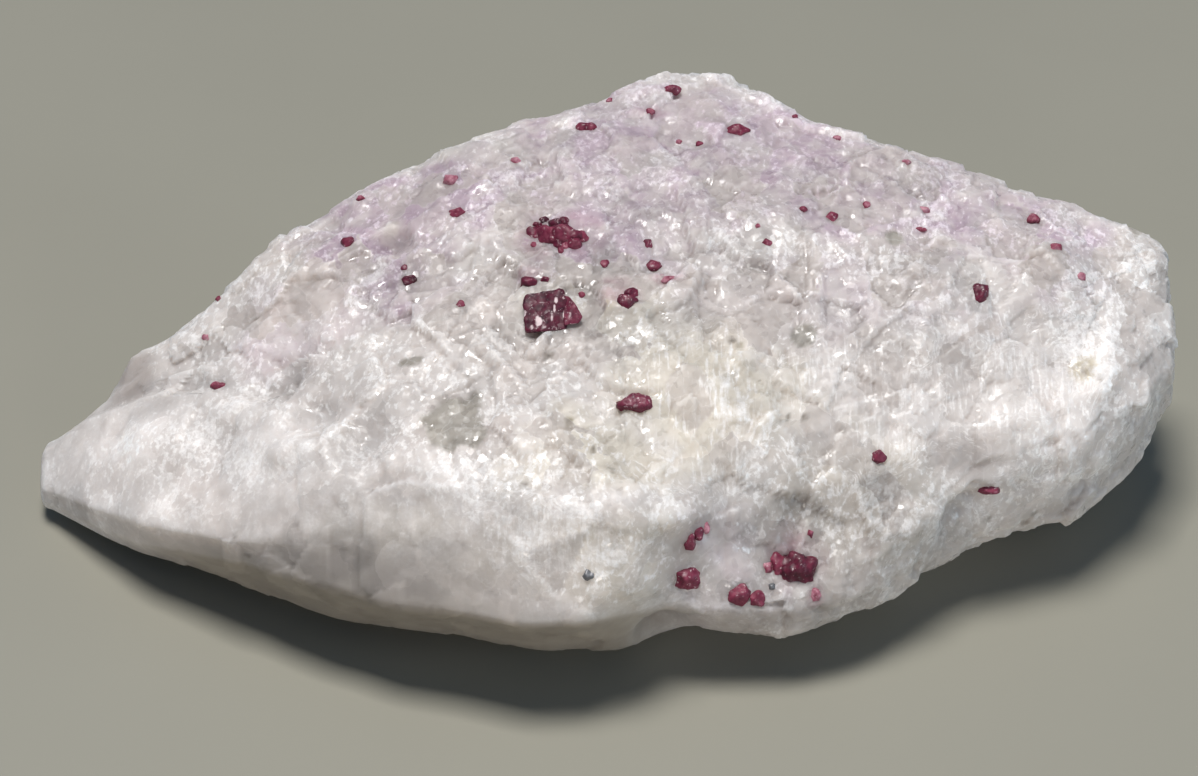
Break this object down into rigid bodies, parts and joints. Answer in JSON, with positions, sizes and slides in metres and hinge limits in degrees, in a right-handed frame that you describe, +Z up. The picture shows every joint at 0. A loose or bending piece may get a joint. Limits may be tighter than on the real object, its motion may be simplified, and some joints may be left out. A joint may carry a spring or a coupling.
{
  "type": "spinel in matrix",
  "caption": "Broken chip of white calcite marble with red spinel crystals set in its upper face, a natural mineral hand specimen that rests on a flat base",
  "frame": {"origin": "middle of the bottom of the whole specimen, on the surface that it rests on", "axes": "+X along the specimen from its thin nose to its blunt end, +Y from the front face to the back, +Z up"},
  "size_m": [0.0632, 0.036, 0.0181],
  "materials": {
    "calcite_marble": "rough broken marble, sugary, faintly see-through",
    "spinel": "glassy crimson crystal faces",
    "grey_grain": "smooth grey grain with a metallic look"
  },
  "bodies": {
    "root": {"marble_matrix": "calcite_marble", "large_spinel": "spinel", "spinel_cluster": "spinel", "spinel_01": "spinel", "spinel_02": "spinel", "spinel_03": "spinel", "spinel_04": "spinel", "spinel_05": "spinel", "spinel_06": "spinel", "spinel_07": "spinel", "spinel_08": "spinel", "spinel_09": "spinel", "spinel_10": "spinel", "spinel_11": "spinel", "spinel_12": "spinel", "spinel_13": "spinel", "spinel_14": "spinel", "spinel_15": "spinel", "spinel_16": "spinel", "spinel_17": "spinel", "spinel_18": "spinel", "spinel_19": "spinel", "spinel_20": "spinel", "spinel_21": "spinel", "spinel_22": "spinel", "spinel_23": "spinel", "spinel_24": "spinel", "spinel_25": "spinel", "spinel_26": "spinel", "spinel_27": "spinel", "spinel_28": "spinel", "spinel_29": "spinel", "spinel_30": "spinel", "spinel_31": "spinel", "spinel_32": "spinel", "spinel_33": "spinel", "spinel_34": "spinel", "spinel_35": "spinel", "spinel_36": "spinel", "spinel_37": "spinel", "spinel_38": "spinel", "spinel_39": "spinel", "spinel_40": "spinel", "spinel_41": "spinel", "spinel_42": "spinel", "spinel_43": "spinel", "spinel_44": "spinel", "spinel_45": "spinel", "spinel_46": "spinel", "spinel_47": "spinel", "spinel_48": "spinel", "spinel_49": "spinel", "grey_grain": "grey_grain", "dark_grain": "grey_grain"}
  },
  "joints": []
}
